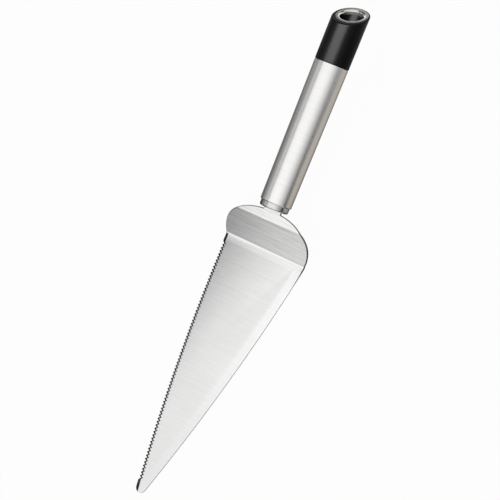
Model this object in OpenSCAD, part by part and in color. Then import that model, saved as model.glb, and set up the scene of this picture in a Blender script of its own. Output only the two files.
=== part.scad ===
// Cake server: a bent steel sheet with a toothed edge, held in a round hollow handle with a slanted end.
// Millimetres. +Z is up, +Y runs from the nose to the handle.
// The origin is the middle of the blade's underside, the flat face that it rests on.

/* [Blade] */
// Length of the blade from the heel line to the nose
blade_len = 156; // [120:1:200]
// Width of the blade at the heel line
heel_w = 56.2; // [46:0.1:70]
// Radius of the two long sides, which bow outwards
side_r = 1120; // [700:10:2500]
// Radius of the rounded nose
nose_r = 3.2; // [2:0.1:8]
// Thickness of the steel sheet
sheet_t = 1.5; // [1:0.1:2]
// Width of the shallow bevel that is ground along the plain side
bevel_w = 5.3; // [2:0.1:9]
// How much thinner the sheet is at the bevel's outer edge
bevel_drop = 0.5; // [0.1:0.05:0.8]
// Length over which the bevel runs out before the heel
bevel_runout = 12; // [4:1:30]

/* [Teeth] */
// Distance from tooth to tooth along the cutting edge
tooth_pitch = 2; // [1.5:0.1:4]
// Depth of a tooth gap, seen from below
tooth_depth = 0.15; // [0.1:0.05:1]
// Slope of the ground groove behind each tooth gap, in degrees
groove_slope = 40; // [25:1:65]
// Angle between the two flanks of a groove
groove_angle = 110; // [80:5:130]
// Plain edge left between the heel line and the first tooth gap
plain_heel = 4; // [2:0.5:20]
// Plain edge left between the last tooth gap and the nose
plain_nose = 4; // [2:0.5:20]

/* [Fan] */
// Angle that the fan rises at, in degrees
fan_rise = 39.7; // [20:0.1:50]
// Widest part of the fan
fan_w = 58.2; // [50:0.1:74]
// Distance from the heel line to the widest part
fan_widest = 6.9; // [5:0.1:10]
// Length of the fan from the heel line to the neck line
fan_len = 19.7; // [15:0.1:26]
// Distance from the heel line to the top of the fan, seen square to the fan
fan_top = 24.8; // [22:0.1:32]
// How square the fan's shoulders are: 2 is an ellipse
fan_squareness = 2.35; // [2:0.05:3]
// Radius of the bend at the heel line, at the middle of the sheet
heel_bend_r = 4; // [2:0.5:6]
// Radius of the bend at the neck line, at the middle of the sheet
neck_bend_r = 4; // [3:0.5:12]

/* [Tang] */
// Width of the tang inside the plug
tang_w = 12; // [8:0.5:14]
// Length of the tang past the handle tube's lower rim
tang_depth = 12; // [8:0.5:20]
// Diameter of the pin through the plug and the tang
pin_d = 3; // [2:0.5:4]

/* [Handle tube] */
// Angle of the handle above the blade, in degrees
handle_rise = 12; // [5:0.5:25]
// Distance from the neck line to the tube's lower rim
neck_len = 10.4; // [9.5:0.1:16]
// Length of the tube
tube_len = 85; // [60:1:120]
// Outer diameter at the lower rim
tube_d = 18.9; // [16:0.1:24]
// Outer diameter at the end cap
tube_end_d = 20.3; // [17:0.1:26]
// Wall of the tube
tube_wall = 0.75; // [0.6:0.05:1.2]
// Chamfer on the tube's rims
rim_chamfer = 0.45; // [0.1:0.05:0.5]

/* [Neck plug] */
// Length of the plug that shows below the tube
plug_nose = 3.5; // [2:0.1:5.5]
// Length of the plug inside the tube
plug_depth = 16; // [13:1:30]
// Radius of the plug's rounded front edge
plug_round = 1; // [0.4:0.1:2]

/* [End cap] */
// Length of the cap along its middle line, outside the tube
cap_len = 29.1; // [24:0.1:40]
// How far the cap stands proud of the tube all round
cap_proud = 0.1; // [0:0.05:0.3]
// Growth of the cap's radius towards its end
cap_flare = 0.2; // [0:0.05:0.6]
// Slope of the cap's end face, in degrees
cap_slope = 32.5; // [20:0.5:40]
// Length of the cap's spigot inside the tube
spigot_len = 15; // [8:1:30]
// Wall of the cap's hollow spigot
spigot_wall = 2; // [1.2:0.1:3]
// Gap in the joint line between the cap and the tube
joint_line = 0.25; // [0.1:0.05:0.5]
// Depth of the groove in the joint line
joint_groove = 0.35; // [0.2:0.05:0.6]

/* [Hanging eye] */
// Inner diameter of the steel ring
eye_d = 12.8; // [10:0.1:14]
// Outer diameter of the ring's flange
flange_d = 17.7; // [16:0.1:18.5]
// Thickness of the flange, square to the sloping face
flange_t = 1; // [0.6:0.1:1.5]
// Wall of the ring's barrel
barrel_wall = 0.7; // [0.5:0.1:1]
// Depth of the barrel, square to the sloping face
barrel_len = 2.2; // [1.6:0.1:4]
// Length of the narrow bore below its lowest edge at the face
bore_len = 5; // [3:0.5:7]
// How far the ring sits from the cap's middle towards the underside
eye_shift = 1; // [0:0.1:1.2]
// Width of the window in the back of the cap, which a hook comes in through
window_w = 9; // [7:0.5:11]
// Length of that window
window_len = 10.5; // [9:0.5:13]
// Height of the window's lower end above the cap's floor
window_sill = 1.5; // [0:0.5:4]
// Distance from the window's upper end to the narrow bore
window_gap = 1; // [0.5:0.5:3]
// Thickness of the floor between the eye and the hollow spigot
floor_t = 3; // [2:0.5:5]

/* [Fits] */
// Clearance of the plug in the tube, of the tang in its slot and of the pin in its hole
plug_fit = 0.03; // [0.01:0.01:0.1]
// Clearance of the cap's spigot in the tube
cap_fit = 0.05; // [0.02:0.01:0.15]
// Clearance of the ring in the cap
ring_fit = 0.03; // [0.01:0.01:0.1]
// How much wider the bore is beside and below the window
bore_relief = 0.3; // [0.1:0.05:0.5]

/* [Hidden] */
// Cuts run past the faces that they open by this much
over = 1;
// A block larger than any piece, for cutting along a plane
reach = 2 * (blade_len + tube_len);
$fn = 96;

// Places of the bends, in the side view, measured from the heel line on the sheet's middle
heel_tangent = heel_bend_r * tan(fan_rise / 2);
neck_turn = fan_rise - handle_rise;
neck_tangent = neck_bend_r * tan(neck_turn / 2);
neck_y = fan_len * cos(fan_rise);
neck_z = fan_len * sin(fan_rise);

// Centre of the tube's lower rim, measured from the same line
rim_y = neck_y + neck_len * cos(handle_rise);
rim_z = neck_z + neck_len * sin(handle_rise);

// The blade's right side is an arc through the heel corner that touches the nose circle from outside.
// Its centre is found from its distances to those two, and the left side is its mirror image.
nose_y = nose_r - blade_len;
heel_x = heel_w / 2;
corner_to_nose = norm([heel_x, nose_y]);
along = (side_r * side_r - (side_r - nose_r) * (side_r - nose_r) + corner_to_nose * corner_to_nose)
    / (2 * corner_to_nose);
aside = sqrt(side_r * side_r - along * along);
to_nose = [-heel_x, nose_y] / corner_to_nose;
side_c = [heel_x, 0] + along * to_nose + aside * [to_nose[1], -to_nose[0]];
touch_dir = ([0, nose_y] - side_c) / (side_r - nose_r);
touch_y = side_c[1] + side_r * touch_dir[1];
// Angles of the heel corner and of the nose, seen from the arc's centre
heel_angle = asin(-side_c[1] / side_r);
nose_angle = asin(touch_dir[1]);
// Where the heel bend ends, and the blade's half width there
heel_end_y = heel_tangent * cos(fan_rise);
heel_end_x = side_c[0] + sqrt(side_r * side_r - pow(heel_end_y - side_c[1], 2));

// Teeth: as many as fit between the two plain stretches
tooth_step = tooth_pitch / side_r * 180 / PI;
first_tooth = heel_angle - (heel_tangent + plain_heel) / side_r * 180 / PI;
last_tooth = nose_angle + plain_nose / side_r * 180 / PI;
tooth_count = floor((first_tooth - last_tooth) / tooth_step);
groove_high = 2 * sheet_t;
groove_wide = 2 * groove_high * tan(groove_angle / 2);
groove_len = 8 * sheet_t;

// Tube and cap radii, by height above the tube's lower rim
rim_r = tube_d / 2;
end_r = tube_end_d / 2;
tube_grow = (end_r - rim_r) / tube_len;
bore_r = rim_r - tube_wall;
cap_z = tube_len + cap_len;
cap_r = end_r + cap_proud;
cap_end_r = cap_r + cap_flare;
cap_high = cap_z + cap_end_r * tan(cap_slope);
cap_low = cap_z - cap_end_r * tan(cap_slope);

// Hanging eye
eye_r = eye_d / 2;
barrel_r = eye_r + barrel_wall;
flange_r = flange_d / 2;
eye_low = cap_z + (eye_shift - eye_r) * tan(cap_slope);
bore_end = eye_low - bore_len;
window_top = bore_end - window_gap;
window_low = window_top - window_len;
eye_floor = window_low - window_sill;

// Radius of the tube's bore at a height above its lower rim
function bore_at(h) = bore_r + tube_grow * h;

// Outline of one half of the fan, in the fan's own plane: the flare from the heel bend, then the shoulder
flare_steps = 8;
shoulder_steps = 24;
function fan_half() = concat(
    [for (i = [flare_steps:-1:0]) let (u = i / flare_steps)
        [fan_w / 2 - (fan_w / 2 - heel_end_x) * u * u, fan_widest - (fan_widest - heel_tangent) * u]],
    [for (i = [1:shoulder_steps]) let (a = 90 * i / shoulder_steps)
        [fan_w / 2 * pow(cos(a), 2 / fan_squareness),
         fan_widest + (fan_top - fan_widest) * pow(sin(a), 2 / fan_squareness)]]);

// Puts children on the heel line, at the middle of the sheet
module at_heel() {
    translate([0, blade_len / 2, sheet_t / 2])
        children();
}

// Puts children on the handle: Z runs up the handle from the tube's lower rim, +Y faces the underside
module on_handle() {
    at_heel() translate([0, rim_y, rim_z]) rotate([handle_rise - 90, 0, 0])
        children();
}

// The sheet's middle line in the side view, from the nose to the end of the tang.
// Each point is its place along Y, its height and the slope there.
bend_steps = 12;
function middle_line() = concat(
    [[-blade_len - over, 0, 0]],
    [for (i = [0:bend_steps]) let (a = fan_rise * i / bend_steps)
        [heel_bend_r * sin(a) - heel_tangent, heel_bend_r * (1 - cos(a)), a]],
    [for (i = [0:bend_steps]) let (a = fan_rise - neck_turn * i / bend_steps)
        [(fan_len - neck_tangent) * cos(fan_rise) + neck_bend_r * (sin(fan_rise) - sin(a)),
         (fan_len - neck_tangent) * sin(fan_rise) + neck_bend_r * (cos(a) - cos(fan_rise)), a]],
    [[neck_y + (neck_len + tang_depth) * cos(handle_rise),
      neck_z + (neck_len + tang_depth) * sin(handle_rise), handle_rise]]);

// The bent strip that the sheet is cut from, as wide as it needs to be
module bent_strip() {
    line = middle_line();
    top = [for (p = line) [p[0] - sheet_t / 2 * sin(p[2]), p[1] + sheet_t / 2 * cos(p[2])]];
    bottom = [for (i = [len(line) - 1:-1:0]) let (p = line[i])
        [p[0] + sheet_t / 2 * sin(p[2]), p[1] - sheet_t / 2 * cos(p[2])]];
    rotate([90, 0, 90]) translate([0, 0, -fan_w]) linear_extrude(2 * fan_w)
        polygon(concat(top, bottom));
}

// Plan of the blade: two arcs and a round nose, drawn on past the heel bend
module blade_plan() {
    intersection() {
        translate(side_c) circle(side_r, $fn = 1440);
        mirror([1, 0]) translate(side_c) circle(side_r, $fn = 1440);
        translate([-heel_w, touch_y]) square([2 * heel_w, heel_end_y + sheet_t - touch_y]);
    }
    translate([0, nose_y]) circle(nose_r);
}

// Plan of the fan, in its own plane
module fan_plan() {
    half = fan_half();
    polygon(concat(half, [for (i = [len(half) - 2:-1:0]) [-half[i][0], half[i][1]]]));
}

// One ground groove: a V that falls outwards and leaves a notch in the sheet's edge
module tooth_groove() {
    translate([-tooth_depth, 0, -sheet_t / 2]) rotate([0, groove_slope, 0])
        translate([-groove_len / 2, 0, 0]) rotate([90, 0, 90]) linear_extrude(groove_len)
            polygon([[0, 0], [groove_wide / 2, groove_high], [-groove_wide / 2, groove_high]]);
}

// The row of grooves along the left side
module teeth() {
    mirror([1, 0, 0]) translate(concat(side_c, [0]))
        for (i = [0:tooth_count - 1])
            rotate([0, 0, first_tooth - (i + 0.5) * tooth_step])
                translate([side_r, 0, 0]) tooth_groove();
}

// The shallow bevel along the plain side, with a ramp where it runs out before the heel
module side_bevel() {
    intersection() {
        translate(concat(side_c, [0])) rotate_extrude($fn = 1440)
            polygon([[side_r - bevel_w, sheet_t / 2],
                [side_r + over, sheet_t / 2 - bevel_drop * (bevel_w + over) / bevel_w],
                [side_r + over, sheet_t], [side_r - bevel_w, sheet_t]]);
        translate([-heel_w, -heel_tangent, sheet_t / 2]) rotate([atan(bevel_drop / bevel_runout), 0, 0])
            translate([0, -reach, 0]) cube([2 * heel_w, reach, reach]);
    }
}

// Everything below the cap's sloping end face, lowered by drop square to that face
module below_slope(drop) {
    translate([0, 0, cap_z]) rotate([cap_slope, 0, 0]) translate([-reach / 2, -reach / 2, -reach - drop])
        cube([reach, reach, reach]);
}

// The blade, the fan and the tang are one bent sheet
module blade() {
    color([0.78, 0.78, 0.77]) at_heel() difference() {
        intersection() {
            bent_strip();
            union() {
                translate([0, 0, -sheet_t]) linear_extrude(3 * sheet_t) blade_plan();
                rotate([fan_rise, 0, 0]) translate([0, 0, -fan_len]) linear_extrude(2 * fan_len) fan_plan();
                rotate([handle_rise, 0, 0]) translate([-tang_w / 2, fan_len, -fan_len])
                    cube([tang_w, 2 * fan_len, 2 * fan_len]);
            }
        }
        teeth();
        side_bevel();
        translate([0, rim_y, rim_z]) rotate([handle_rise - 90, 0, 0]) pin_hole();
    }
}

// Place of the pin, across the sheet at the middle of the tang
module pin_hole() {
    translate([0, 0, tang_depth / 2]) rotate([90, 0, 0])
        cylinder(r = pin_d / 2 + plug_fit, h = 4 * rim_r, center = true);
}

// A round bar, slotted for the tang, with a rounded front edge
module neck_plug() {
    color([0.72, 0.72, 0.71]) on_handle() difference() {
        rotate_extrude() union() {
            polygon([[0, -plug_nose], [bore_r - plug_fit - plug_round, -plug_nose],
                [bore_r - plug_fit, plug_round - plug_nose], [bore_r - plug_fit, 0],
                [bore_at(plug_depth) - plug_fit, plug_depth], [0, plug_depth]]);
            intersection() {
                translate([bore_r - plug_fit - plug_round, plug_round - plug_nose]) circle(plug_round);
                translate([0, -plug_nose]) square([rim_r, plug_nose]);
            }
        }
        translate([-tang_w / 2 - plug_fit, -sheet_t / 2 - plug_fit, -plug_nose - over])
            cube([tang_w + 2 * plug_fit, sheet_t + 2 * plug_fit, plug_nose + over + tang_depth + plug_fit]);
        pin_hole();
    }
}

// The pin that keeps the tang in the plug, hidden by the tube
module tang_pin() {
    color([0.6, 0.6, 0.6]) on_handle()
        translate([0, 0, tang_depth / 2]) rotate([90, 0, 0])
            cylinder(r = pin_d / 2, h = 2 * bore_r - pin_d / 2, center = true);
}

// The hollow handle, slightly wider towards the cap
module handle_tube() {
    color([0.75, 0.75, 0.74]) on_handle() rotate_extrude()
        polygon([[bore_r, 0], [rim_r - rim_chamfer, 0], [rim_r + tube_grow * rim_chamfer, rim_chamfer],
            [end_r - tube_grow * rim_chamfer, tube_len - rim_chamfer], [end_r - rim_chamfer, tube_len],
            [end_r - tube_wall, tube_len]]);
}

// The black end cap: a sleeve with a sloping end, an eye with a window behind it, and a hollow spigot
module end_cap() {
    spigot_end = tube_len - spigot_len;
    spigot_in = bore_at(spigot_end) - cap_fit - spigot_wall;
    color([0.1, 0.1, 0.11]) on_handle() difference() {
        intersection() {
            rotate_extrude() polygon([[0, spigot_end], [bore_at(spigot_end) - cap_fit, spigot_end],
                [bore_at(tube_len) - cap_fit, tube_len], [cap_r - joint_groove, tube_len],
                [cap_r - joint_groove, tube_len + joint_line], [cap_r, tube_len + joint_line],
                [cap_end_r, cap_z], [cap_end_r, cap_high + over], [0, cap_high + over]]);
            below_slope(0);
        }
        translate([0, 0, spigot_end - over]) cylinder(r = spigot_in, h = eye_floor - floor_t - spigot_end + over);
        translate([0, eye_shift, eye_floor]) cylinder(r = eye_r + bore_relief, h = bore_end - eye_floor);
        translate([0, eye_shift, eye_floor]) cylinder(r = eye_r, h = cap_high - eye_floor);
        ring_seat(barrel_r + ring_fit, barrel_len + ring_fit);
        ring_seat(flange_r + ring_fit, flange_t + ring_fit);
        window();
    }
}

// One step of the ring's seat: a round recess down to a depth square to the sloping face
module ring_seat(r, depth) {
    difference() {
        translate([0, eye_shift, cap_low - cap_r]) cylinder(r = r, h = cap_high);
        below_slope(depth);
    }
}

// The window in the back of the cap: a slot with round ends
module window() {
    for (z = [window_low + window_w / 2, window_top - window_w / 2])
        translate([0, 0, z]) rotate([-90, 0, 0]) cylinder(r = window_w / 2, h = cap_end_r + over);
    translate([-window_w / 2, 0, window_low + window_w / 2])
        cube([window_w, cap_end_r + over, window_len - window_w]);
}

// One step of the ring: a round bar between two depths below the sloping face
module ring_step(r, from, to) {
    difference() {
        intersection() {
            translate([0, eye_shift, bore_end]) cylinder(r = r, h = cap_high - bore_end);
            below_slope(from);
        }
        below_slope(to);
    }
}

// The steel ring that lines the eye's mouth: a sloping flange, flush with the cap's end, and a short barrel
module hanging_ring() {
    color([0.66, 0.65, 0.63]) on_handle() difference() {
        union() {
            ring_step(flange_r, 0, flange_t);
            ring_step(barrel_r, flange_t / 2, barrel_len);
        }
        translate([0, eye_shift, bore_end - over]) cylinder(r = eye_r, h = cap_high - bore_end + over);
    }
}

blade();
neck_plug();
tang_pin();
handle_tube();
end_cap();
hanging_ring();
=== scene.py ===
# %% [markdown]
# # Cake server
# The real object is a steel sheet, cut to a long triangle with a fan at its back, bent twice, toothed on
# one long side and ground thinner along the other. Its narrow tang sits in a short steel plug, which closes
# a hollow steel handle, and a black cap with a steel-lined hanging eye closes the other end.
# The solids are already fixed and are loaded first. The steps below model each visible piece again with
# rounder edges and smoother bends, in the same place, and then finish its surface.

# %% The fixed frame
import math

import bpy
from mathutils import Matrix, Vector


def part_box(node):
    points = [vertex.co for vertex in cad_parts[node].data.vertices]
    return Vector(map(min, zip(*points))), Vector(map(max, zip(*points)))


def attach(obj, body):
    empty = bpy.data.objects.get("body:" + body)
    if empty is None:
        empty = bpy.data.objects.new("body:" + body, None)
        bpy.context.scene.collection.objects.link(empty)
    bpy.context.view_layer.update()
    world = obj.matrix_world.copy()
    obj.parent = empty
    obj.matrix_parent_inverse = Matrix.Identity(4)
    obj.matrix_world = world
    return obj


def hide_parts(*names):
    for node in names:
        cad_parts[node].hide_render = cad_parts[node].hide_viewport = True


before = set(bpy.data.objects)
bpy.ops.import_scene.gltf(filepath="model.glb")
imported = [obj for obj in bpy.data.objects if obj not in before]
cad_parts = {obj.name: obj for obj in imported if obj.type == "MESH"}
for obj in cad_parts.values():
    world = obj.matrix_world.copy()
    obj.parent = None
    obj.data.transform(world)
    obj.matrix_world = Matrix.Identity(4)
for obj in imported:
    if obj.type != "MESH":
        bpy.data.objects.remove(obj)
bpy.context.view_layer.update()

print("loaded solids:", ", ".join(sorted(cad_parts)))

# %% [markdown]
# ## Sizes
# All sizes are in millimetres, as on the maker's drawing, and they repeat those of the solids. Each piece is
# modelled in millimetres near the origin, in the position that is easiest to draw, and is then put in its
# place in metres. For the sheet that position is flat on the table, with the heel line (where the blade
# turns up into the fan) on Y = 0. For the round pieces it is upright, with the tube's lower rim on Z = 0.

# %% Sizes of the sheet
MM = 0.001
blade_len, heel_w, side_r, nose_r, sheet_t = 156.0, 56.2, 1120.0, 3.2, 1.5
bevel_w, bevel_drop, bevel_runout = 5.3, 0.5, 12.0
tooth_pitch, tooth_depth, groove_slope, groove_angle = 2.0, 0.15, 40.0, 110.0
plain_heel, plain_nose = 4.0, 4.0
fan_rise, fan_w, fan_widest, fan_len, fan_top, fan_squareness = 39.7, 58.2, 6.9, 19.7, 24.8, 2.35
heel_bend_r, neck_bend_r = 4.0, 4.0
tang_w, tang_depth, pin_d = 12.0, 12.0, 3.0
over = 1.0  # cutters reach past the faces that they open by this much
print("sheet:", blade_len, "mm blade,", heel_w, "mm wide at the heel,", sheet_t, "mm thick")

# %% Sizes of the handle
handle_rise, neck_len = 12.0, 10.4
tube_len, tube_d, tube_end_d, tube_wall, rim_chamfer = 85.0, 18.9, 20.3, 0.75, 0.45
plug_nose, plug_depth, plug_round, plug_fit = 3.5, 16.0, 1.0, 0.03
cap_len, cap_proud, cap_flare, cap_slope, cap_round, joint_round = 29.1, 0.1, 0.2, 32.5, 0.6, 0.15
spigot_len, spigot_wall, cap_fit, joint_line, joint_groove = 15.0, 2.0, 0.05, 0.25, 0.35
eye_d, bore_len, bore_relief, eye_shift = 12.8, 5.0, 0.3, 1.0
flange_d, flange_t, flange_round, lip_round = 17.7, 1.0, 0.12, 1.2
barrel_wall, barrel_len, ring_fit = 0.7, 2.2, 0.03
window_w, window_len, window_sill, window_gap, floor_t = 9.0, 10.5, 1.5, 1.0, 3.0
print("handle:", tube_len, "mm tube,", tube_d, "to", tube_end_d, "mm across,", cap_len, "mm cap")

# %% Places that follow from the sizes
slope = math.radians(cap_slope)
heel_tangent = heel_bend_r * math.tan(math.radians(fan_rise) / 2)
neck_turn = math.radians(fan_rise - handle_rise)
neck_tangent = neck_bend_r * math.tan(neck_turn / 2)
rim_y = fan_len * math.cos(math.radians(fan_rise)) + neck_len * math.cos(math.radians(handle_rise))
rim_z = fan_len * math.sin(math.radians(fan_rise)) + neck_len * math.sin(math.radians(handle_rise))
rim_r, end_r = tube_d / 2, tube_end_d / 2
bore_r, tube_grow = rim_r - tube_wall, (end_r - rim_r) / tube_len
cap_z, cap_r = tube_len + cap_len, end_r + cap_proud
cap_end_r = cap_r + cap_flare
cap_high, cap_low = cap_z + cap_end_r * math.tan(slope), cap_z - cap_end_r * math.tan(slope)
eye_r, flange_r = eye_d / 2, flange_d / 2
barrel_r = eye_r + barrel_wall
bore_end = cap_z + (eye_shift - eye_r) * math.tan(slope) - bore_len
window_top = bore_end - window_gap
window_low = window_top - window_len
eye_floor = window_low - window_sill

at_heel = Matrix.Scale(MM, 4) @ Matrix.Translation((0, blade_len / 2, sheet_t / 2))
on_handle = at_heel @ Matrix.Translation((0, rim_y, rim_z)) @ Matrix.Rotation(
    math.radians(handle_rise - 90), 4, "X")
print("tube's lower rim is at", [round(v, 5) for v in on_handle.translation])

# %% [markdown]
# ## The camera
# The camera stands where the photographer's did. Its turn, distance and lens came from fitting the drawing's
# edges to the edges in the photograph. It looks down at about 60 degrees, from the plain side of the blade.
# It is made first, so that every later step can be looked at from there.

# %% Camera
swing, tip, roll = -28.7998, -4.73496, -27.63187
distance, aim_x, aim_y, pixels_per_mm, frame_px, sensor_mm = 858.24, -8.733, 0.167, 1.729849, 500, 36.0
turned = (Matrix.Rotation(math.radians(roll), 3, "Z") @ Matrix.Rotation(math.radians(tip), 3, "X")
          @ Matrix.Rotation(math.radians(swing), 3, "Y"))
bpy.ops.object.camera_add()
camera = bpy.context.object
camera.name = "photographers_camera"
camera.matrix_world = Matrix.Translation(
    (turned.transposed() @ Vector((aim_x, aim_y, distance)) + Vector((0, blade_len / 2, sheet_t / 2))) * MM
) @ turned.transposed().to_4x4()
camera.data.sensor_width = sensor_mm
camera.data.lens = pixels_per_mm * distance * sensor_mm / frame_px
bpy.context.scene.camera = camera
print("camera at", [round(v, 3) for v in camera.location], "lens", round(camera.data.lens, 1), "mm")

# %% [markdown]
# ## Helpers
# An operator acts on whatever is selected, so each step first selects exactly what it needs. These helpers
# do that: one makes a piece the only selected one, and three pick its points or edges by their place, or
# all of it. The next ones cut a piece with another, slice it along a plane, round its edges and merge its
# double points, and the last gives the finished piece its place and its shading.

# %% Selecting
def stop_editing():
    """Goes back from a piece's points to whole pieces."""
    bpy.ops.object.mode_set(mode="OBJECT")


def fix_place():
    """Writes the selected piece's place, turn and size into its points."""
    bpy.ops.object.transform_apply(location=True, rotation=True, scale=True)


def only(piece):
    """Leaves edit mode and selects this piece alone."""
    if bpy.context.mode != "OBJECT":
        stop_editing()
    bpy.ops.object.select_all(action="DESELECT")
    piece.select_set(True)
    bpy.context.view_layer.objects.active = piece


def edit_nothing(piece, kind):
    """Opens the piece in edit mode with nothing selected."""
    only(piece)
    bpy.ops.object.mode_set(mode="EDIT")
    bpy.ops.mesh.select_mode(type=kind)
    bpy.ops.mesh.select_all(action="DESELECT")
    stop_editing()


def pick_points(piece, wanted):
    """Selects the points whose place passes the test, and stays in edit mode."""
    edit_nothing(piece, "VERT")
    for point in piece.data.vertices:
        point.select = wanted(point)
    bpy.ops.object.mode_set(mode="EDIT")


def pick_edges(piece, wanted):
    """Selects the edges whose two ends pass the test, and stays in edit mode."""
    edit_nothing(piece, "EDGE")
    points = piece.data.vertices
    for edge in piece.data.edges:
        edge.select = wanted(points[edge.vertices[0]].co, points[edge.vertices[1]].co)
    bpy.ops.object.mode_set(mode="EDIT")


def pick_all(piece):
    """Selects the whole mesh, and stays in edit mode."""
    only(piece)
    bpy.ops.object.mode_set(mode="EDIT")
    bpy.ops.mesh.select_all(action="SELECT")


print("three ways to pick, by place: points, edges or everything")


# %% Cutting, placing and shading
hair = 0.001  # two places closer than this are the same
sharp_turn = math.radians(31)


def cut(piece, cutter, how="DIFFERENCE", overlapping=False):
    """Cuts the cutter out of the piece, or joins it to the piece, and removes the cutter."""
    only(piece)
    knife = piece.modifiers.new("cut", "BOOLEAN")
    knife.operation, knife.solver, knife.object, knife.use_self = how, "EXACT", cutter, overlapping
    bpy.ops.object.modifier_apply(modifier=knife.name)
    bpy.data.objects.remove(cutter)


def slice_off(piece, point, normal, keep="below", fill=True):
    """Cuts the piece along a plane and keeps what lies below or above it."""
    pick_all(piece)
    bpy.ops.mesh.bisect(plane_co=point, plane_no=normal, use_fill=fill,
                        clear_outer=keep == "below", clear_inner=keep == "above")
    stop_editing()


def round_edges(piece, radius, steps, wanted):
    """Rounds the edges whose two ends pass the test."""
    pick_edges(piece, wanted)
    bpy.ops.mesh.bevel(offset=radius, segments=steps, affect="EDGES")
    stop_editing()


def close_up(piece):
    """Merges double points and turns all faces outwards."""
    pick_all(piece)
    bpy.ops.mesh.remove_doubles(threshold=hair / 2)
    bpy.ops.mesh.normals_make_consistent(inside=False)
    stop_editing()


def settle(piece, place, node):
    """Puts the finished mesh in its place, shades it, and lets it stand for its solid."""
    only(piece)
    piece.matrix_world = place @ piece.matrix_world
    fix_place()
    bpy.ops.object.shade_smooth_by_angle(angle=sharp_turn)
    even = piece.modifiers.new("even_shading", "WEIGHTED_NORMAL")
    even.keep_sharp = True
    bpy.ops.object.modifier_apply(modifier=even.name)
    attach(piece, "root")
    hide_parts(node)
    low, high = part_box(node)
    mine = [piece.matrix_world @ Vector(corner) for corner in piece.bound_box]
    worst = max(max(abs(low[i] - min(c[i] for c in mine)), abs(high[i] - max(c[i] for c in mine)))
                for i in range(3))
    print(f"{piece.name}: {len(piece.data.polygons)} faces, box within {worst / MM:.2f} mm of {node}")


# %% [markdown]
# ## The sheet: flat blank
# The real blade, fan and tang are one blank, cut flat from 1.5 mm sheet. So it is drawn flat as well: one
# point is extruded from place to place round the outline, as a pencil would go, then filled and given its
# thickness. A grid would need hundreds of faces to follow the round shoulders, and this needs one.
# The drawing gives the outline in three parts, each measured along the finished shape, so the two
# functions here first say how far along the flat blank such a place lies.

# %% Flat lengths
heel_arc = heel_bend_r * math.radians(fan_rise)
fan_starts = heel_arc - heel_tangent
neck_starts = fan_starts + fan_len - neck_tangent - heel_tangent
neck_ends = neck_starts + neck_bend_r * neck_turn
tang_ends = neck_ends + neck_len + tang_depth - neck_tangent


def along_blade(y):
    """Flat place of a point that lies y from the heel line, on the blade or in the heel bend."""
    if y <= -heel_tangent:
        return y
    return heel_bend_r * math.asin((y + heel_tangent) / heel_bend_r) - heel_tangent


def along_fan(v):
    """Flat place of a point that lies v up the fan, on the fan, in the neck bend or past it."""
    past = v - (fan_len - neck_tangent)
    if past <= 0:
        return fan_starts + v - heel_tangent
    if past <= neck_bend_r * math.sin(neck_turn):
        return neck_starts + neck_bend_r * math.asin(past / neck_bend_r)
    return neck_ends + (past - neck_bend_r * math.sin(neck_turn)) / math.cos(neck_turn)


print("flat blank:", round(blade_len + tang_ends, 1), "mm long")

# %% Centre of the long side's arc
nose_y, heel_x = nose_r - blade_len, heel_w / 2
corner_to_nose = math.hypot(heel_x, nose_y)
along = (side_r ** 2 - (side_r - nose_r) ** 2 + corner_to_nose ** 2) / (2 * corner_to_nose)
aside = math.sqrt(side_r ** 2 - along ** 2)
to_nose = Vector((-heel_x, nose_y)) / corner_to_nose
side_c = Vector((heel_x, 0)) + along * to_nose + aside * Vector((to_nose.y, -to_nose.x))
nose_angle = math.asin((nose_y - side_c.y) / (side_r - nose_r))
heel_end_y = heel_tangent * math.cos(math.radians(fan_rise))
heel_end_angle = math.asin((heel_end_y - side_c.y) / side_r)
heel_end_x = side_c.x + side_r * math.cos(heel_end_angle)
print("the long side's arc has its centre at", [round(v, 2) for v in side_c], "mm")


# %% Half of the outline
nose_steps, side_steps, shoulder_steps, fan_steps = 8, 60, 12, 60


def half_outline():
    """Points of the right half, from the nose to the end of the tang."""
    points = []
    for i in range(nose_steps + 1):
        a = math.radians(-90) + (math.radians(90) + nose_angle) * i / nose_steps
        points.append((nose_r * math.cos(a), nose_y + nose_r * math.sin(a)))
    for i in range(1, side_steps + 1):
        a = nose_angle + (heel_end_angle - nose_angle) * i / side_steps
        points.append((side_c.x + side_r * math.cos(a), along_blade(side_c.y + side_r * math.sin(a))))
    for i in reversed(range(shoulder_steps)):
        u = i / shoulder_steps
        points.append((fan_w / 2 - (fan_w / 2 - heel_end_x) * u * u,
                       along_fan(fan_widest - (fan_widest - heel_tangent) * u)))
    rise, power = fan_top - fan_widest, 2 / fan_squareness
    for i in range(1, fan_steps + 1):
        a = math.radians(90) * i / fan_steps
        x = fan_w / 2 * math.cos(a) ** power
        if x < tang_w / 2:
            break
        points.append((x, along_fan(fan_widest + rise * math.sin(a) ** power)))
    corner = (1 - (tang_w / fan_w) ** fan_squareness) ** (1 / fan_squareness)
    points.append((tang_w / 2, along_fan(fan_widest + rise * corner)))
    points.append((tang_w / 2, tang_ends))
    return points


right = half_outline()
outline = [Vector((x, y, -sheet_t / 2)) for x, y in right + [(-x, y) for x, y in reversed(right[1:])]]
print("outline:", len(outline), "points")


# %% Drawing the blank
def draw(name, points):
    """Draws a line from point to point with one extruded point, and stays in edit mode."""
    bpy.ops.mesh.primitive_plane_add(size=1)
    piece = bpy.context.object
    piece.name = name
    pick_all(piece)
    bpy.ops.mesh.select_mode(type="VERT")
    bpy.ops.mesh.merge(type="CENTER")
    bpy.ops.transform.translate(value=points[0])
    for here, there in zip(points, points[1:]):
        bpy.ops.mesh.extrude_vertices_move(TRANSFORM_OT_translate={"value": there - here})
    bpy.ops.mesh.select_all(action="SELECT")
    return piece


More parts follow.
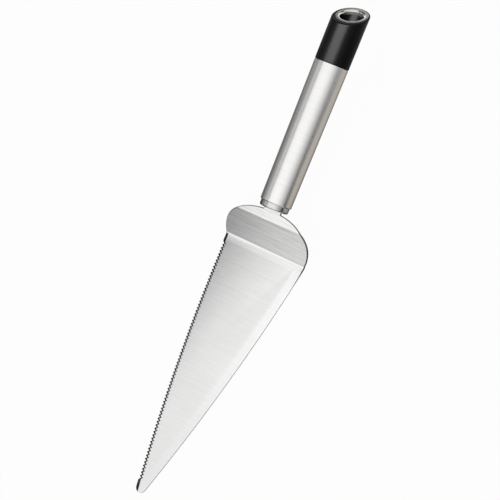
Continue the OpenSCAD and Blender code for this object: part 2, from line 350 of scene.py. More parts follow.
def draw_blank(name, points, thickness):
    """Draws an outline, fills it and gives it its thickness."""
    piece = draw(name, points)
    bpy.ops.mesh.edge_face_add()
    bpy.ops.mesh.extrude_region_move(TRANSFORM_OT_translate={"value": (0, 0, thickness)})
    stop_editing()
    close_up(piece)
    return piece


blade = draw_blank("blade_sheet", outline, sheet_t)
print(blade.name, "has", len(blade.data.polygons), "faces")

# %% [markdown]
# ## The sheet: rounded rim
# In the photograph the fan's rim shows as a thin dark line even on the far side, where a sharp corner would
# show nothing. So the rim is rounded there, almost to a full round. The toothed stretch stays sharp.

# %% Rim
rim_round, rim_steps = 0.55, 5
last_tooth = nose_angle + plain_nose / side_r
first_tooth = math.asin(-side_c.y / side_r) - (heel_tangent + plain_heel) / side_r
toothed_low = side_c.y + side_r * math.sin(last_tooth)
toothed_high = side_c.y + side_r * math.sin(first_tooth)


def on_rim(a, b):
    """The rim's upper and lower edges, apart from the toothed stretch."""
    if abs(a.z - b.z) > sheet_t / 2:
        return False
    middle = (a + b) / 2
    return not (middle.x < 0 and toothed_low < middle.y < toothed_high)


round_edges(blade, rim_round, rim_steps, on_rim)
print("rim rounded to", rim_round, "mm;", len(blade.data.polygons), "faces")

# %% [markdown]
# ## The sheet: teeth
# Each tooth gap is the end of a V groove that a grinding wheel cut down through the top of the sheet. The
# groove falls outwards, so it shows from above as a dark slanted facet behind a small notch. One cutter is
# made from a cube, turned on its edge and tilted, and Spin copies it along the arc of the long side.

# %% Teeth
tooth_step = tooth_pitch / side_r
tooth_count = int((first_tooth - last_tooth) / tooth_step)
groove_size, groove_len = 2 * sheet_t, 8 * sheet_t


def tooth_cutters():
    """A row of square bars, one for each tooth gap, along the left side."""
    bpy.ops.mesh.primitive_cube_add(size=1)
    bars = bpy.context.object
    bars.name = "tooth_cutters"
    bars.matrix_world = (
        Matrix.Translation((side_c.x, side_c.y, 0)) @ Matrix.Rotation(first_tooth - tooth_step / 2, 4, "Z")
        @ Matrix.Translation((side_r - tooth_depth, 0, -sheet_t / 2))
        @ Matrix.Rotation(math.radians(groove_slope), 4, "Y")
        @ Matrix.Diagonal((1, math.tan(math.radians(groove_angle / 2)), 1, 1))
        @ Matrix.Rotation(math.radians(45), 4, "X")
        @ Matrix.Diagonal((groove_len, groove_size, groove_size, 1)) @ Matrix.Translation((0, 0.5, 0.5)))
    only(bars)
    fix_place()
    pick_all(bars)
    bpy.ops.mesh.spin(steps=tooth_count - 1, dupli=True, angle=tooth_step * (tooth_count - 1),
                      center=(side_c.x, side_c.y, 0), axis=(0, 0, 1))
    bpy.ops.mesh.select_all(action="SELECT")
    bpy.ops.transform.mirror(orient_type="GLOBAL", constraint_axis=(True, False, False),
                             center_override=(0, 0, 0))
    bpy.ops.mesh.normals_make_consistent(inside=False)
    stop_editing()
    return bars


bars = tooth_cutters()
reached = [v.co.y for v in bars.data.vertices]
print("tooth gaps:", tooth_count, "with", len(bars.data.polygons), "cutter faces, y", round(min(reached), 1),
      "to", round(max(reached), 1))
cut(blade, bars, overlapping=True)
print(blade.name, "has", len(blade.data.polygons), "faces")

# %% [markdown]
# ## The sheet: ground bevel
# Along the plain side the photograph shows a slightly lighter band of even width. That is a shallow bevel
# that thins the edge. The cutter is a flat strip, spun about the same centre as the side's arc, whose
# underside falls by half a millimetre. A slanting slice lets it run out before the heel.

# %% Bevel
bevel_past, bevel_steps = 12.0, 60


def bevel_cutter():
    """The material that the grinding took away, as one curved wedge."""
    fall = bevel_drop * (bevel_w + over) / bevel_w
    corners = [(side_r - bevel_w, sheet_t / 2), (side_r + over, sheet_t / 2 - fall),
               (side_r + over, 2 * sheet_t), (side_r - bevel_w, 2 * sheet_t)]
    start, end = nose_angle - bevel_past / side_r, heel_end_angle + bevel_past / side_r
    bpy.ops.mesh.primitive_plane_add(size=1)
    wedge = bpy.context.object
    wedge.name = "bevel_cutter"
    for point, (r, z) in zip(wedge.data.vertices, (corners[0], corners[1], corners[3], corners[2])):
        point.co = (side_c.x + r * math.cos(start), side_c.y + r * math.sin(start), z)
    pick_all(wedge)
    bpy.ops.mesh.spin(steps=bevel_steps, angle=end - start, center=(side_c.x, side_c.y, 0), axis=(0, 0, -1))
    stop_editing()
    close_up(wedge)
    ramp = math.atan(bevel_drop / bevel_runout)
    slice_off(wedge, (0, -heel_tangent, sheet_t / 2), (0, -math.sin(ramp), math.cos(ramp)), keep="above")
    return wedge


wedge = bevel_cutter()
reached = [v.co.y for v in wedge.data.vertices]
print("bevel cutter spans y", round(min(reached), 1), "to", round(max(reached), 1))
cut(blade, wedge)
print(blade.name, "has", len(blade.data.polygons), "faces")

# %% [markdown]
# ## The sheet: two bends
# A press brake bends the real blank along two lines. Here the flat mesh is first cut by a few parallel lines
# across each bend, and then everything beyond a line is turned a little about it, line by line. It starts
# with the line furthest from the nose, so each line is still flat on the table when its turn comes.
# Before that, the blank gets a flat pattern map, one unit to the metre, so that the brushing later follows
# the sheet round its bends. Each face of the cut rim also gets a mark, a plain number kept on the face, that
# the material reads to darken the rim: partly the ground edge's own finish, partly painted shade.

# %% Flat pattern map
def empty_map(piece):
    """The layer that holds the piece's map."""
    layer = piece.data.uv_layers.get("surface_map") or piece.data.uv_layers.new(name="surface_map")
    piece.data.uv_layers.active = layer
    return layer


def flat_map(piece):
    """A map from above, in metres, taken while the sheet is flat."""
    layer = empty_map(piece)
    for loop in piece.data.loops:
        co = piece.data.vertices[loop.vertex_index].co
        layer.data[loop.index].uv = (co.x * MM, co.y * MM)


bend_lines = 12
heel_lines = [-heel_tangent + heel_arc * i / bend_lines for i in range(bend_lines + 1)]
neck_lines = [neck_starts + (neck_ends - neck_starts) * i / bend_lines for i in range(bend_lines + 1)]
for line in heel_lines + neck_lines:
    slice_off(blade, (0, line, 0), (0, 1, 0), keep="both", fill=False)
flat_map(blade)
print("bend lines:", len(heel_lines + neck_lines), "across", len(blade.data.polygons), "faces")

# %% Marks on the cut rim
faces_up = 0.97  # the normal's height on the sheet's upper face and its bevel


def mark_faces(piece, label, wanted):
    """Keeps a mark from nought to one on each face, for the finish to read."""
    layer = piece.data.attributes.new(label, "FLOAT", "FACE")
    for face in piece.data.polygons:
        layer.data[face.index].value = float(wanted(face))


def rim_shade_mark(face):
    """Painted shade, with the ground edge's own finish: one on the teeth's flanks, less on the rest of the
    rim and the unseen underside.
    """
    if face.normal.z > faces_up:
        return 0.0
    return 1.0 if face.center.x < 0 and face.center.y < 0 else 0.8


# the "ground" mark sets where the rim gets painted shade
mark_faces(blade, "ground", rim_shade_mark)
marked = sum(rim_shade_mark(face) > 0 for face in blade.data.polygons)
print("marked", marked, "of", len(blade.data.polygons), "faces")


# %% Bending
def bend(piece, lines, angle, flat_y):
    """Turns what lies beyond each line, the furthest line first; the two outer lines take half a turn."""
    for i in reversed(range(len(lines))):
        turn = angle / (len(lines) - 1) * (0.5 if i in (0, len(lines) - 1) else 1)
        for margin in (-hair, hair):
            pick_points(piece, lambda p: flat_y[p.index] > lines[i] + margin)
            bpy.ops.transform.rotate(value=-turn / 2, orient_axis="X", orient_type="GLOBAL",
                                     center_override=(0, lines[i], 0))
            stop_editing()


flat_y = [v.co.y for v in blade.data.vertices]
bend(blade, neck_lines, -neck_turn, flat_y)
bend(blade, heel_lines, math.radians(fan_rise), flat_y)
settle(blade, at_heel, "blade")

# %% [markdown]
# ## Round pieces
# The tube, the plug, the cap and the ring are all modelled upright, where a cylinder is easy to add and to
# cut, and are tilted into the handle's line at the end. Before that, each gets a map that is wrapped round
# it, for the fine turning lines that run round such pieces.

# %% Wrapped map and cylinder
around, hidden_around = 144, 48
map_radius = 10.0


def wrapped_map(piece, centre_y=0.0):
    """A map wrapped round the upright piece, one unit to the metre each way."""
    layer = empty_map(piece)
    for face in piece.data.polygons:
        middle = math.atan2(face.center.y - centre_y, face.center.x)
        for index in face.loop_indices:
            co = piece.data.vertices[piece.data.loops[index].vertex_index].co
            angle = math.atan2(co.y - centre_y, co.x)
            angle = middle + (angle - middle + math.pi) % math.tau - math.pi
            radius = math.hypot(co.x, co.y - centre_y)
            layer.data[index].uv = (angle * map_radius * MM, (co.z + radius) * MM)


def upright(name, radius, low, high, centre_y=0.0, ends="NGON", sides=around):
    """An upright cylinder from one height to another."""
    bpy.ops.mesh.primitive_cylinder_add(vertices=sides, radius=radius, depth=high - low, end_fill_type=ends,
                                        location=(0, centre_y, (low + high) / 2))
    piece = bpy.context.object
    piece.name = name
    fix_place()
    return piece


print("round pieces have", around, "sides")

# %% [markdown]
# ## Handle tube
# A drawn steel tube, a little wider at the cap. It starts as an open cylinder whose upper ring is widened,
# Solidify gives it its wall inwards, and the outer rims get the narrow chamfer that shines in the photograph
# as a bright line at both ends.

# %% Tube
tube = upright("handle_sleeve", rim_r, 0, tube_len, ends="NOTHING")
pick_points(tube, lambda p: p.co.z > tube_len / 2)
bpy.ops.transform.resize(value=(end_r / rim_r, end_r / rim_r, 1), center_override=(0, 0, 0))
stop_editing()
only(tube)
wall = tube.modifiers.new("wall", "SOLIDIFY")
wall.thickness, wall.offset, wall.use_even_offset = tube_wall, -1, True
bpy.ops.object.modifier_apply(modifier=wall.name)


def outer_rim(a, b):
    """Edges of the tube's two ends, on the outside."""
    flat = abs(a.z - b.z) < hair and (a.z < hair or a.z > tube_len - hair)
    return flat and min(a.xy.length, b.xy.length) > rim_r + tube_grow * a.z - tube_wall / 2


round_edges(tube, rim_chamfer, 1, outer_rim)
wrapped_map(tube)
settle(tube, on_handle, "handle_tube")

# %% [markdown]
# ## Neck plug
# A short polished bar that closes the tube's lower end. Only its rounded nose shows. The slot for the tang
# and the hole for its pin are cut through it, so nothing overlaps inside.

# %% Plug
plug = upright("neck_nose", bore_r - plug_fit, -plug_nose, plug_depth)
pick_points(plug, lambda p: p.co.z > plug_depth / 2)
grown = (bore_r + tube_grow * plug_depth - plug_fit) / (bore_r - plug_fit)
bpy.ops.transform.resize(value=(grown, grown, 1), center_override=(0, 0, 0))
stop_editing()
round_edges(plug, plug_round, 6, lambda a, b: max(a.z, b.z) < -plug_nose + hair)
bpy.ops.mesh.primitive_cube_add(size=1)
slot_bar = bpy.context.object
slot_low, slot_high = -plug_nose - over, tang_depth + plug_fit
slot_bar.scale = (tang_w + 2 * plug_fit, sheet_t + 2 * plug_fit, slot_high - slot_low)
slot_bar.location = (0, 0, (slot_low + slot_high) / 2)
cut(plug, slot_bar)
pin_bar = upright("pin_bar", pin_d / 2 + plug_fit, -tube_d, tube_d, sides=hidden_around)
pin_bar.matrix_world = (Matrix.Translation((0, 0, tang_depth / 2))
                        @ Matrix.Rotation(math.radians(90), 4, "X"))
cut(plug, pin_bar)
wrapped_map(plug)
settle(plug, on_handle, "neck_plug")

# %% [markdown]
# ## End cap
# A moulded black sleeve with a hollow spigot inside the tube and a slanting end. Its profile is drawn with
# one extruded point and spun round, sliced along the slope, and rounded at the new rim. The eye, the seat of
# the ring and the window in its back are then cut out.

# %% Cap body
spigot_end = tube_len - spigot_len


def spun(name, profile):
    """Draws a profile of (radius, height) points and spins it round the upright axis."""
    piece = draw(name, [Vector((r, 0, z)) for r, z in profile])
    bpy.ops.mesh.spin(steps=around, angle=math.tau, center=(0, 0, 0), axis=(0, 0, 1))
    stop_editing()
    close_up(piece)
    return piece


def bore_at(height):
    """Radius of the tube's bore."""
    return bore_r + tube_grow * height


cap_foot, cap_above = tube_len + joint_line, cap_high + over
cap = spun("end_cap_black", [
    (0, spigot_end), (bore_at(spigot_end) - cap_fit, spigot_end), (bore_at(tube_len) - cap_fit, tube_len),
    (cap_r - joint_groove, tube_len), (cap_r - joint_groove, cap_foot), (cap_r, cap_foot),
    (cap_r + cap_flare * (cap_above - tube_len) / cap_len, cap_above), (0, cap_above)])
slope_normal = Vector((0, -math.sin(slope), math.cos(slope)))


def on_slope(drop):
    """A point of the slanting plane, lowered square to it."""
    return Vector((0, 0, cap_z)) - slope_normal * drop


def lies_on_slope(p):
    """True for a point on the slanting plane."""
    return abs((p - on_slope(0)).dot(slope_normal)) < hair


def at_foot(p):
    """True for a point on the cap's lower outer edge, beside the joint line."""
    return abs(p.z - cap_foot) < hair and p.xy.length > cap_r - joint_groove / 2


slice_off(cap, on_slope(0), slope_normal)
round_edges(cap, cap_round, 5, lambda a, b: lies_on_slope(a) and lies_on_slope(b))
round_edges(cap, joint_round, 2, lambda a, b: at_foot(a) and at_foot(b))
print("cap body has", len(cap.data.polygons), "faces")

# %% Cap cuts
spigot_in, window_sides = bore_at(spigot_end) - cap_fit - spigot_wall, 64
cut(cap, upright("hollow", spigot_in, spigot_end - over, eye_floor - floor_t))
cut(cap, upright("wide_bore", eye_r + bore_relief, eye_floor, bore_end, eye_shift))
cut(cap, upright("narrow_bore", eye_r, bore_end - over, cap_high + 2 * over, eye_shift))
for radius, depth in ((barrel_r, barrel_len), (flange_r, flange_t)):
    seat = upright("ring_seat", radius + ring_fit, cap_low - cap_r, cap_high + 2 * over, eye_shift)
    slice_off(seat, on_slope(depth + ring_fit), slope_normal, keep="above")
    cut(cap, seat)


def window_cutter():
    """A slot with round ends that points out of the cap's back."""
    depth, middle = cap_end_r + over, window_low + window_w / 2
    bpy.ops.mesh.primitive_cylinder_add(vertices=window_sides, radius=window_w / 2, depth=depth,
                                        location=(0, depth / 2, middle), rotation=(math.radians(90), 0, 0))
    slot = bpy.context.object
    fix_place()
    pick_points(slot, lambda p: p.co.z > middle - hair)
    bpy.ops.transform.translate(value=(0, 0, window_len - window_w))
    stop_editing()
    return slot


cut(cap, window_cutter())
wrapped_map(cap)
settle(cap, on_handle, "end_cap")

# %% [markdown]
# ## Hanging ring
# The steel ring that lines the eye's mouth: a slanting flange, flush with the cap's end, and a short barrel
# with the same slant. The photograph shows a wide satin flange whose inner lip rolls softly into the eye, so
# that edge is rounded generously, and the outer rim only just. A mark on its faces sets where the finish
# paints shade: darkest on the wall inside the eye, less on the satin flange, none on the polished lip. A few
# slices divide the flat flange, so that the turning lines follow it round.

# %% Ring
def ring_step(name, radius, top, bottom):
    """A round bar between two depths below the slanting face."""
    bar = upright(name, radius, bore_end, cap_high + over, eye_shift)
    slice_off(bar, on_slope(top), slope_normal)
    slice_off(bar, on_slope(bottom), slope_normal, keep="above")
    return bar


ring = ring_step("eye_ring", flange_r, 0, flange_t)
cut(ring, ring_step("barrel", barrel_r, flange_t / 2, barrel_len), "UNION")
cut(ring, upright("ring_bore", eye_r, bore_end - over, cap_high + 2 * over, eye_shift))
print("ring body has", len(ring.data.polygons), "faces")

# %% Ring's edges and marks
ring_sectors = 12
wall_limit, slant_limit = 0.2, 0.02  # for the parts of a face's normal


def from_eye(p):
    """Distance from the eye's own axis."""
    return math.hypot(p.x, p.y - eye_shift)


def on_face_at(radius):
    """A test for edges of the slanting face at this distance from the eye's axis."""
    return lambda a, b: lies_on_slope(a) and lies_on_slope(b) and abs(from_eye(a) - radius) < flange_round


round_edges(ring, lip_round, 7, on_face_at(eye_r))
round_edges(ring, flange_round, 2, on_face_at(flange_r))
for i in range(ring_sectors):
    turn = math.radians(180) * i / ring_sectors
    slice_off(ring, (0, eye_shift, 0), (math.cos(turn), math.sin(turn), 0), keep="both", fill=False)
wrapped_map(ring, eye_shift)


def ring_shade_mark(face):
    """Painted shade: one on the wall inside the eye, most of one on the flat flange, none on the polished
    lip between, which keeps the bright steel.
    """
    if abs(face.normal.z) < wall_limit and from_eye(face.center) < eye_r + lip_round / 2:
        return 1.0
    slanting = max(abs(face.normal.x), abs(face.normal.z - math.cos(slope))) < slant_limit
    return 0.8 if slanting else 0.0


# this mark says where the ring's colour gets painted shade
mark_faces(ring, "inside", ring_shade_mark)
settle(ring, on_handle, "hanging_ring")

# %% [markdown]
# ## Surface effects
# Two effects serve several finishes, so each is a node group. The first is the brushing: very long, very
# thin streaks, which only need a noise that is stretched along the lines. The second is the slight
# unevenness that handling and cleaning leave on any smooth surface: a large, faint noise. A few short
# helpers do the wiring, so that each effect reads as one line for each of its nodes.

# %% Group helpers
def add(tree, kind, settings=None, **inputs):
    """Adds a shader node, sets its properties, and sets or links its inputs by name or number."""
    node = tree.nodes.new("ShaderNode" + kind)
    for key, value in (settings or {}).items():
        setattr(node, key, value)
    for key, value in inputs.items():
        by_number = key[0] == "_"
        socket = node.inputs[int(key[1:]) if by_number else key.replace("_", " ")]
        if isinstance(value, bpy.types.NodeSocket):
            tree.links.new(value, socket)
        else:
            socket.default_value = value
    return node


def new_group(name, inputs, outputs):
    """An empty node group with named inputs (with their usual values) and outputs."""
    group = bpy.data.node_groups.new(name, "ShaderNodeTree")
    for label, kind, usual in inputs:
        socket = group.interface.new_socket(name=label, in_out="INPUT", socket_type=kind)
        if usual is not None:
            socket.default_value = usual
    for label, kind in outputs:
        group.interface.new_socket(name=label, in_out="OUTPUT", socket_type=kind)
    return group, group.nodes.new("NodeGroupInput"), group.nodes.new("NodeGroupOutput")


FLOAT, VECTOR = "NodeSocketFloat", "NodeSocketVector"
print("inputs are set by name, or by number after an underscore")


# %% Soft steps
def step(tree, value, start, end, low=0.0, high=1.0):
    """A soft step from one level to another."""
    return add(tree, "MapRange", {"interpolation_type": "SMOOTHSTEP"}, Value=value, From_Min=start,
               From_Max=end, To_Min=low, To_Max=high).outputs[0]


def maths(tree, how, *values):
    """One sum, product or the like."""
    return add(tree, "Math", {"operation": how},
               **{f"_{i}": value for i, value in enumerate(values)}).outputs[0]


def blend_tones(tree, share, first, second):
    """A colour between two others."""
    return add(tree, "Mix", {"data_type": "RGBA"}, _0=share, _6=first, _7=second).outputs[2]


def noise(tree, where, size, detail, roughness=0.5):
    """A cloudy pattern between nought and one."""
    return add(tree, "TexNoise", Vector=where, Scale=size, Detail=detail,
               Roughness=roughness).outputs[0]


print("a soft step has a start, an end and a level before and after")

# %% Brushing group
brushing, given, result = new_group(
    "brushing", [("Vector", VECTOR, None), ("Fine", FLOAT, 1.0), ("Coarse", FLOAT, 0.5)],
    [("Tone", FLOAT), ("Height", FLOAT)])
along_lines, fine_share, coarse_share = (given.outputs[i] for i in range(3))
fine = noise(brushing, along_lines, 1.0, 3.0, 0.6)
coarse = noise(brushing, along_lines, 0.21, 2.0)
both = maths(brushing, "MULTIPLY_ADD", coarse, coarse_share, maths(brushing, "MULTIPLY", fine, fine_share))
mean = maths(brushing, "DIVIDE", both, maths(brushing, "ADD", fine_share, coarse_share))
brushing.links.new(mean, result.inputs["Tone"])
brushing.links.new(fine, result.inputs["Height"])
print("group", brushing.name, "made")

# %% Handling group
handling, given, result = new_group(
    "handling", [("Vector", VECTOR, None), ("Size", FLOAT, 40.0), ("Low", FLOAT, 0.9), ("High", FLOAT, 1.1)],
    [("Factor", FLOAT)])
cloud = noise(handling, given.outputs["Vector"], given.outputs["Size"], 4.0, 0.55)
spread = add(handling, "MapRange", Value=cloud, From_Min=0.3, From_Max=0.7,
             To_Min=given.outputs["Low"], To_Max=given.outputs["High"])
handling.links.new(spread.outputs[0], result.inputs["Factor"])
print("group", handling.name, "made")

# %% [markdown]
# ## Steel finishes
# All the steel is the same metal: a bright, barely warm grey. What differs is how it was finished, and that
# is mostly in the direction, the length and the strength of the brushing. The anisotropic value stretches
# each highlight across the lines, as real brushing does, and the map gives the direction of the lines.
# On the ground edge and in the eye, where the steel shows darker, the finish paints shade: it reads the mark
# that was left on those faces and darkens them. The slow start and end of the bend at the heel is a very low
# ridge in the relief.

# %% Steel
handled = (0.92, 1.08)  # how far handling changes a steel's roughness
fine_depth = 0.00002  # metres, the relief of the brushing
quarter_turn = 0.25  # highlights spread across the lines


def colour(tone, share=1.0):
    """A colour for a shader, from its three parts."""
    return (*[part * share for part in tone], 1)


def grey(level):
    """An even grey, from black at nought to white at one."""
    return colour((level, level, level))


def new_finish(name):
    """A new material, with its node tree and its shader."""
    material = bpy.data.materials.new(name)
    material.use_nodes = True
    return material, material.node_tree, material.node_tree.nodes["Principled BSDF"]


def handled_roughness(tree, rough, uneven):
    """A roughness that handling has made slightly uneven."""
    where = add(tree, "TexCoord").outputs["Object"]
    low, high = uneven
    factor = add(tree, "Group", {"node_tree": handling}, Vector=where, Low=low, High=high)
    return maths(tree, "MULTIPLY", factor.outputs[0], rough)


def steel(name, tones, rough, stretch, lines, tone_reach, bump, dark=None, dim=0.2, crease=None):
    """A steel finish. lines is how often streaks repeat per metre along and across the map."""
    material, tree, shader = new_finish(name)
    shader.inputs["Metallic"].default_value = 1.0
    shader.inputs["Anisotropic"].default_value = stretch
    shader.inputs["Anisotropic Rotation"].default_value = quarter_turn
    surface = add(tree, "UVMap", {"uv_map": "surface_map"}).outputs[0]
    placed = add(tree, "Mapping", Vector=surface, Scale=(*lines, 1.0))
    grain = add(tree, "Group", {"node_tree": brushing}, Vector=placed.outputs[0])
    shade = add(tree, "MapRange", Value=grain.outputs["Tone"], From_Min=0.5 - tone_reach,
                From_Max=0.5 + tone_reach)
    paint = blend_tones(tree, shade.outputs[0], colour(tones[0]), colour(tones[1]))
    # where a mark asks for it, shade is painted into the colour, down to the darker tone times dim
    if dark:
        share = dark(tree, surface, grain.outputs["Tone"])
        paint = blend_tones(tree, share, paint, colour(tones[0], dim))
    tree.links.new(paint, shader.inputs["Base Color"])
    tree.links.new(handled_roughness(tree, rough, handled), shader.inputs["Roughness"])
    relief = add(tree, "Bump", Height=grain.outputs["Height"], Strength=bump, Distance=fine_depth)
    if crease:
        tree.links.new(crease(tree, surface), relief.inputs["Normal"])
    tree.links.new(relief.outputs[0], shader.inputs["Normal"])
    direction = add(tree, "Tangent", {"direction_type": "UV_MAP", "uv_map": "surface_map"})
    tree.links.new(direction.outputs[0], shader.inputs["Tangent"])
    print("finish", name, "has", len(tree.nodes), "nodes")
    return material


print("handling changes a steel's roughness by a factor from", handled[0], "to", handled[1])

# %% Painted shade on the edge and in the eye, and the heel's ridge
# Each pair or row: where a soft step starts and ends, then its level before and after. Distances from the
# toothed side's arc and places along the flat sheet are in metres.
heel_bar_starts, heel_bar_ends, nose_tip = (-0.0058, -0.0052), (0.0006, -0.0002), (-0.1508, -0.1515)
toothed, fan_starting, streaked = (-0.0050, -0.0056), (0.001, 0.006), (0.44, 0.62, 0.0, 0.22)
plain_end_shade_strip = ((side_r - 1.95) * MM, (side_r - 1.65) * MM)
tip_shade_strip = ((side_r - 2.25) * MM, (side_r - 1.75) * MM, 0.0, 0.95)
ridge_height, ridge_up, ridge_down = 0.00063, (-0.0046, 0.0034, 0.0, 0.4), (-0.0016, 0.0030, 0.0, -0.9)


def face_mark(tree, label):
    """The mark that was left on the faces."""
    return add(tree, "Attribute", {"attribute_name": label}).outputs["Fac"]


def ground_edge_painted_shade(tree, surface, tone):
    """Painted shade on the teeth's flanks and tips and the plain ends of that edge, with the ground edge's
    own finish; a little darker grain on the fan's streaks.
    """
    reach = add(tree, "VectorMath", {"operation": "DISTANCE"}, _0=surface,
                _1=(-side_c.x * MM, side_c.y * MM, 0)).outputs["Value"]
    along = add(tree, "SeparateXYZ", Vector=surface).outputs["Y"]
    by_heel = maths(tree, "MULTIPLY", step(tree, along, *heel_bar_starts), step(tree, along, *heel_bar_ends))
    ends = maths(tree, "MAXIMUM", by_heel, step(tree, along, *nose_tip))
    plain = maths(tree, "MULTIPLY", step(tree, reach, *plain_end_shade_strip), ends)
    tips = maths(tree, "MULTIPLY", step(tree, reach, *tip_shade_strip), step(tree, along, *toothed))
    streaks = maths(tree, "MULTIPLY", step(tree, along, *fan_starting), step(tree, tone, *streaked))
    darkest = face_mark(tree, "ground")
    for share in (plain, tips, streaks):
        darkest = maths(tree, "MAXIMUM", darkest, share)
    return darkest


def soft_crease(tree, surface):
    """The slow start and end of the bend at the heel, as a very low ridge."""
    along = add(tree, "SeparateXYZ", Vector=surface).outputs["Y"]
    ridge = maths(tree, "ADD", step(tree, along, *ridge_up), step(tree, along, *ridge_down))
    return add(tree, "Bump", Height=ridge, Strength=1.0, Distance=ridge_height).outputs[0]


def painted_eye_shade(tree, surface, tone):
    """Painted shade: one on the wall inside the eye, where little light comes, and most of one on the satin
    flange, so the lip looks brighter.
    """
    return face_mark(tree, "inside")


print("ridge at the heel:", ridge_height / MM, "mm high; strip along the tips from",
      round(side_r - tip_shade_strip[0] / MM, 2), "mm inside the edge")

# %% The four steels
# the blade's rim, tooth tips and heel bar get painted shade, almost black
blade_finish = steel("blade_steel", ((0.77, 0.77, 0.765), (0.83, 0.83, 0.825)), rough=0.12, stretch=1.0,
                     lines=(60.0, 2400.0), tone_reach=0.16, bump=0.25,
                     dark=ground_edge_painted_shade, dim=0.03, crease=soft_crease)
tube_finish = steel("handle_steel", ((0.76, 0.755, 0.74), (0.84, 0.835, 0.82)), rough=0.30, stretch=0.7,
                    lines=(40.0, 3200.0), tone_reach=0.16, bump=0.25)
plug_finish = steel("polished_steel", ((0.56, 0.555, 0.54), (0.62, 0.615, 0.60)), rough=0.13, stretch=0.3,
                    lines=(60.0, 5000.0), tone_reach=0.2, bump=0.08)
ring_finish = steel("ring_steel", ((0.84, 0.83, 0.81), (0.92, 0.91, 0.89)), rough=0.13, stretch=0.4,
                    lines=(60.0, 4200.0), tone_reach=0.2, bump=0.12, dark=painted_eye_shade)


# %% Dressing
def dress(piece, material):
    """Gives the whole piece one finish."""
    piece.data.materials.clear()
    piece.data.materials.append(material)


for piece, finish in ((blade, blade_finish), (tube, tube_finish), (plug, plug_finish), (ring, ring_finish)):
    dress(piece, finish)
    print(piece.name, "is finished in", finish.name)

# %% [markdown]
# ## Pin steel and black plastic
# The pin is hidden in the plug and keeps its solid's mesh. That has no map, so its fine grain comes from the
# object's own coordinates. The cap is moulded black plastic: nearly black, with a soft sheen, a very fine
# grain and a few faint rub marks that only change how sharp the sheen is.

# %% Pin and cap finishes
def plain_finish(name, base, metal, rough, grain_scale, grain_depth, uneven, mirror=0.5):
    """A finish from the object's own coordinates: fine grain in the relief, handling in the sheen."""
    material, tree, shader = new_finish(name)
    shader.inputs["Metallic"].default_value = metal
    shader.inputs["Specular IOR Level"].default_value = mirror
    tree.links.new(handled_roughness(tree, rough, uneven), shader.inputs["Roughness"])
    where = add(tree, "TexCoord").outputs["Object"]
    grain = noise(tree, where, grain_scale, 2.0)
    relief = add(tree, "Bump", Height=grain, Strength=grain_depth, Distance=fine_depth)
    tree.links.new(relief.outputs[0], shader.inputs["Normal"])
    paint = blend_tones(tree, grain, colour(base, 0.92), colour(base, 1.08))
    tree.links.new(paint, shader.inputs["Base Color"])
    print("finish", name, "has", len(tree.nodes), "nodes")
    return material


pin_finish = plain_finish("pin_steel", (0.6, 0.6, 0.59), metal=1.0, rough=0.3, grain_scale=2500.0,
                          grain_depth=0.2, uneven=(0.9, 1.1))
cap_finish = plain_finish("black_plastic", (0.001, 0.001, 0.0011), metal=0.0, rough=0.33,
                          grain_scale=3500.0, grain_depth=0.25, uneven=(0.9, 1.12), mirror=0.08)
dress(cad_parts["tang_pin"], pin_finish)
dress(cap, cap_finish)

# %% [markdown]
# ## Studio
# A plain pale table, with a white room round it for the camera. What the steel mirrors is the studio of the
# photograph: a broad light from above that ends at the left, a low reflector in front, one behind, and dim
# sides between them. That is one world, built from soft steps along its three axes. The table is white to
# the camera and keeps a faint shadow. To the steel it shows painted shadow: dark beside the blade, which
# lies on it and shades it, and dark under and left of the raised handle, with warm grey to its right.

# %% Table
table_r, table_drop = 3.0, 0.0004  # metres; the drop keeps it clear of the blade's underside
bpy.ops.mesh.primitive_circle_add(vertices=96, radius=table_r, fill_type="NGON",
                                  location=(0, 0, -table_drop))
table = bpy.context.object
table.name = "table"
fix_place()
print("table", round(table.dimensions.x, 1), "m across")

# %% Table top
# Where its tone changes, in metres, and the tones that the steel mirrors there: painted shadow beside the
# blade and under the handle.
right_side, further = (0.006, 0.026), (0.05, 0.13)
by_handle, behind, far_back = (0.094, 0.104), (0.20, 0.24), (0.30, 0.42)
seen_share, mirrored_share, through_share = 0.97, 0.95, 0.8  # how much of the tone is its own light
cloth = bpy.data.materials.new("table_top")
cloth.use_nodes = True
tree = cloth.node_tree
tree.nodes.clear()
rays = add(tree, "LightPath").outputs
lit = add(tree, "BsdfDiffuse", Color=colour((0.50, 0.475, 0.44)))
place = add(tree, "TexCoord").outputs["Object"]
spot = add(tree, "SeparateXYZ", Vector=place).outputs
at_right = step(tree, spot["X"], *right_side)
# painted shadow: dark beside the blade, and the handle's shadow left of and under it
blade_shadow = blend_tones(tree, at_right, grey(0.02), grey(0.03))
warm = blend_tones(tree, step(tree, spot["X"], *further), colour((0.54, 0.50, 0.455)), grey(0.22))
handle_shadow_and_table = blend_tones(tree, at_right, colour((0.18, 0.175, 0.17)), warm)
tone = blend_tones(tree, step(tree, spot["Y"], *by_handle), blade_shadow, handle_shadow_and_table)
tone = blend_tones(tree, step(tree, spot["Y"], *behind), tone, grey(0.95))
tone = blend_tones(tree, step(tree, spot["Y"], *far_back), tone, colour((0.13, 0.12, 0.107)))
tone = blend_tones(tree, rays["Is Camera Ray"], tone, grey(1))
glow = add(tree, "Emission", Color=tone, Strength=1.0)
share = maths(tree, "MULTIPLY", rays["Is Camera Ray"], seen_share)
share = maths(tree, "MULTIPLY_ADD", rays["Is Glossy Ray"], mirrored_share, share)
share = maths(tree, "MULTIPLY_ADD", rays["Is Transmission Ray"], through_share, share)
mixed = add(tree, "MixShader", _0=share, _1=lit.outputs[0], _2=glow.outputs[0])
add(tree, "OutputMaterial", Surface=mixed.outputs[0])
dress(table, cloth)
print("table top has", len(tree.nodes), "nodes")

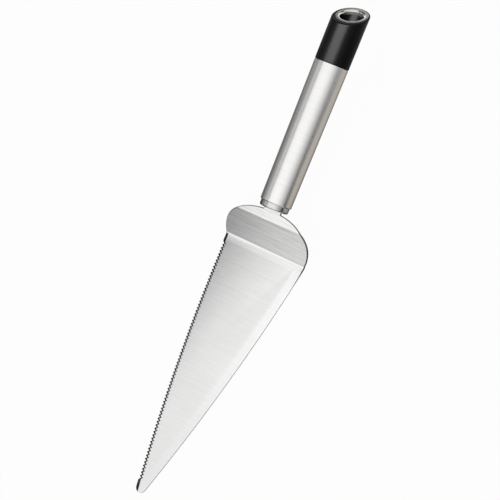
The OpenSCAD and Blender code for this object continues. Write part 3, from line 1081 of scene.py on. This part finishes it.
# %% Levels in the room
# Each row is a soft step along one axis of the direction in which the steel looks: where it starts and ends,
# then the level before and after (high_right is a straight ramp). East is the blade's right side, and north
# is towards the handle.
high_up, high_right, to_right_half = (0.34, 0.64, 0.19, 1.12), (-0.02, 0.84, 0.28, 1.12), (-0.2, 0.5)
along_table = ((0.005, -0.105, 1.0, 0.74), (-0.12, -0.30, 1.0, 1.42),
               (0.22, 0.45, 1.0, 0.62), (-0.50, -0.72, 1.0, 0.62))
left_end, end_lean, end_lean_from = (-0.522, -0.480, 0.31, 1.06), -0.25, -0.02
beyond_left, past_middle, right_extra = (-0.53, -0.60, 0.0, 0.30), (-0.47, 0.0), 0.08
left_wall = (-0.60, -0.95, 0.0, 0.24)
front_far, front_low, front_side = (-0.60, -0.85), (0.60, 0.35), (-0.510, -0.455, 0.27, 0.73)
back_far, back_foot, back_level = (0.75, 0.92), (0.02, 0.12), 0.55
print("the broad light grows from", high_up[2], "to", high_up[3], "and ends at the left near", left_end[0])

# %% Room
world = bpy.data.worlds.new("studio")
bpy.context.scene.world = world
world.use_nodes = True
tree = world.node_tree
tree.nodes.clear()
toward = add(tree, "TexCoord").outputs["Generated"]
east, north, height = add(tree, "SeparateXYZ", Vector=toward).outputs
start, end, before, after = high_right
over_right = add(tree, "MapRange", Value=height, From_Min=start, From_Max=end, To_Min=before,
                 To_Max=after).outputs[0]
overhead = add(tree, "Mix", _0=step(tree, east, *to_right_half),
               _2=step(tree, height, *high_up), _3=over_right).outputs[0]
for row in along_table:
    overhead = maths(tree, "MULTIPLY", overhead, step(tree, north, *row))
leaning = maths(tree, "MULTIPLY_ADD", maths(tree, "MAXIMUM", north, end_lean_from), end_lean, east)
to_right = step(tree, east, *past_middle, step(tree, east, *beyond_left), right_extra)
across = maths(tree, "ADD", step(tree, leaning, *left_end), to_right)
front = maths(tree, "MULTIPLY", step(tree, north, *front_far), step(tree, height, *front_low))
front = maths(tree, "MULTIPLY", front, step(tree, east, *front_side))
back = maths(tree, "MULTIPLY", step(tree, north, *back_far), step(tree, height, *back_foot))
level = maths(tree, "MULTIPLY_ADD", overhead, across, step(tree, east, *left_wall))
level = maths(tree, "ADD", level, maths(tree, "MULTIPLY_ADD", back, back_level, front))
studio = add(tree, "Background", Color=grey(1), Strength=level)
paper = add(tree, "Background", Color=grey(1), Strength=1.0)
rays = add(tree, "LightPath").outputs
room = add(tree, "MixShader", _0=rays["Is Camera Ray"], _1=studio.outputs[0], _2=paper.outputs[0])
add(tree, "OutputWorld", Surface=room.outputs[0])
print("room has", len(tree.nodes), "nodes")

# %% [markdown]
# ## Lamp
# The black cap would mirror this pale room as grey. The photographer gave it a light of its own, so that one
# soft streak runs along its left side. Light linking does the same: the lamp below lights the cap alone.

# %% Lamp
lamp_place, lamp_tilt, lamp_size, lamp_power = (0.042, 0.156, 0.831), math.radians(3), (0.92, 0.5), 31.0
bpy.ops.object.light_add(type="AREA", location=lamp_place)
lamp = bpy.context.object
lamp.name = "cap_softbox"
lamp.data.shape, lamp.data.energy = "RECTANGLE", lamp_power
lamp.data.size, lamp.data.size_y = lamp_size
lamp.rotation_euler = (0, lamp_tilt, 0)
cap_only = bpy.data.collections.new("lit_by_cap_softbox")
cap_only.objects.link(cap)
lamp.light_linking.receiver_collection = cap_only
print("softbox", round(lamp.data.size, 2), "by", round(lamp.data.size_y, 2), "m, for", cap.name)

# %% [markdown]
# ## Plain view
# The tones are the photograph's own, so the picture uses the plain view.

# %% Finish
bpy.context.scene.view_settings.view_transform = "Standard"
